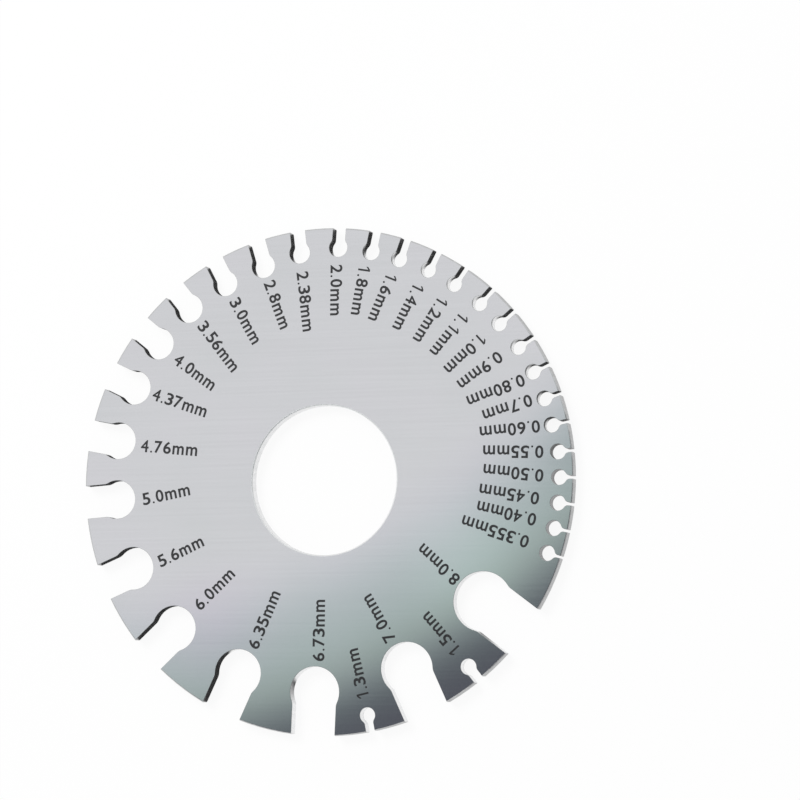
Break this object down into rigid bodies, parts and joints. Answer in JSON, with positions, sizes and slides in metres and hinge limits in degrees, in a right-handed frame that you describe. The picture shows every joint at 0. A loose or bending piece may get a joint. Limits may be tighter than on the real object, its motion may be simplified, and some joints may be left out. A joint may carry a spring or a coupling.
{
  "type": "wire gauge plate",
  "caption": "Flat round steel wire gauge with a finger hole in the middle and graded keyhole notches round the rim, each marked with its slot width.",
  "frame": {"origin": "middle of the plate on its back face, the face it lies on", "axes": "+Z out of the marked face along the middle hole; +X through the rim between the 0.50 and 0.55 mm notches; the widths grow anticlockwise seen from +Z"},
  "size_m": [0.0762, 0.0762, 0.002],
  "materials": {
    "steel": "satin ground stainless steel",
    "marking": "matt dark grey print"
  },
  "bodies": {
    "root": {"gauge_plate": "steel"}
  },
  "joints": []
}
